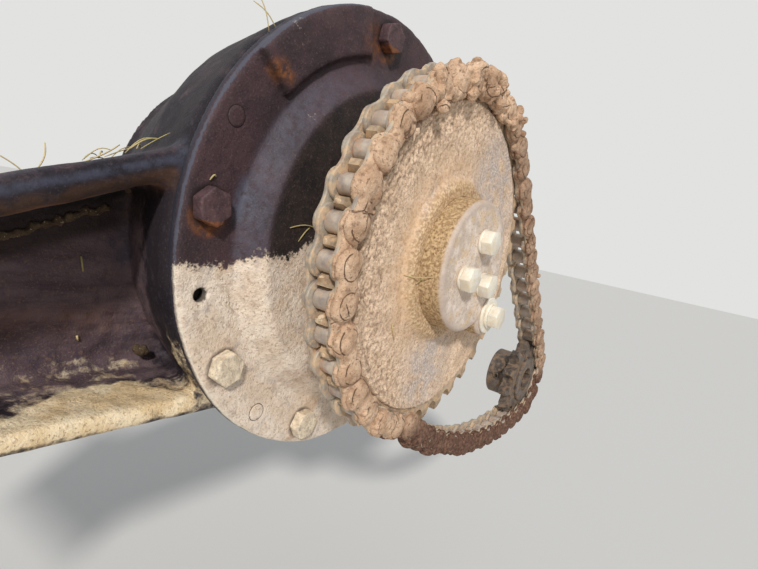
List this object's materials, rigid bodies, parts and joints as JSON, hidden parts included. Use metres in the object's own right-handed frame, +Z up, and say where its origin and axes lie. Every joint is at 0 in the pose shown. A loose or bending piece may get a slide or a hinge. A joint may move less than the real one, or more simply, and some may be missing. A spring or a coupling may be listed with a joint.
{
  "type": "gearbox output chain drive of a square baler",
  "caption": "Cast gearbox side housing on a ribbed support arm with bolted cover, output shaft, shear hub, large chain wheel, roller chain and driven pinion.",
  "frame": {"origin": "centre of the housing's rear mounting face on the output shaft's axis", "axes": "+Z up, +X towards the driven pinion's side, -Y out of the cover towards the chain wheel"},
  "size_m": [1.0932, 0.4778, 0.5263],
  "materials": {
    "housing_paint": "worn slate-blue paint on rough casting, dusty",
    "cover_paint": "dust-caked paint on casting",
    "cover_bolt_steel": "rusty and dusty",
    "gasket": "matt fibre",
    "seal_rubber": "matt, dusty",
    "shaft_steel": "turned",
    "dark_steel": "oily and dusty",
    "wheel_steel": "worn steel under tan dust",
    "disc_steel": "worn steel under pale dust",
    "zinc": "dull zinc, dusty",
    "chain_steel": "bare rollers, mud-caked plates"
  },
  "bodies": {
    "housing": {"housing": "housing_paint", "drain_plug": "dark_steel", "gasket": "gasket", "cover": "cover_paint", "cover_bolts": "cover_bolt_steel", "cover_plugs": "cover_paint", "shaft_seal": "seal_rubber", "rear_bearing": "shaft_steel", "roller_links": "chain_steel", "pin_links": "chain_steel"},
    "output": {"shaft": "shaft_steel", "hub": "dark_steel", "wheel": "wheel_steel", "drive_disc": "disc_steel", "hub_bolts": "zinc", "hub_washers": "zinc", "shear_bolt": "zinc", "shear_washers": "zinc", "shear_nut": "zinc"},
    "driven": {"pinion": "dark_steel", "pinion_screw": "dark_steel"}
  },
  "joints": [
    {"name": "output_turn", "type": "hinge", "parent": "housing", "child": "output", "pos_m": [0, -0.348, 0], "axis": [0, -1, 0], "continuous": true},
    {"name": "driven_turn", "type": "hinge", "parent": "housing", "child": "driven", "pos_m": [0.3769, -0.348, -0.19204], "axis": [0, -1, 0], "continuous": true}
  ]
}
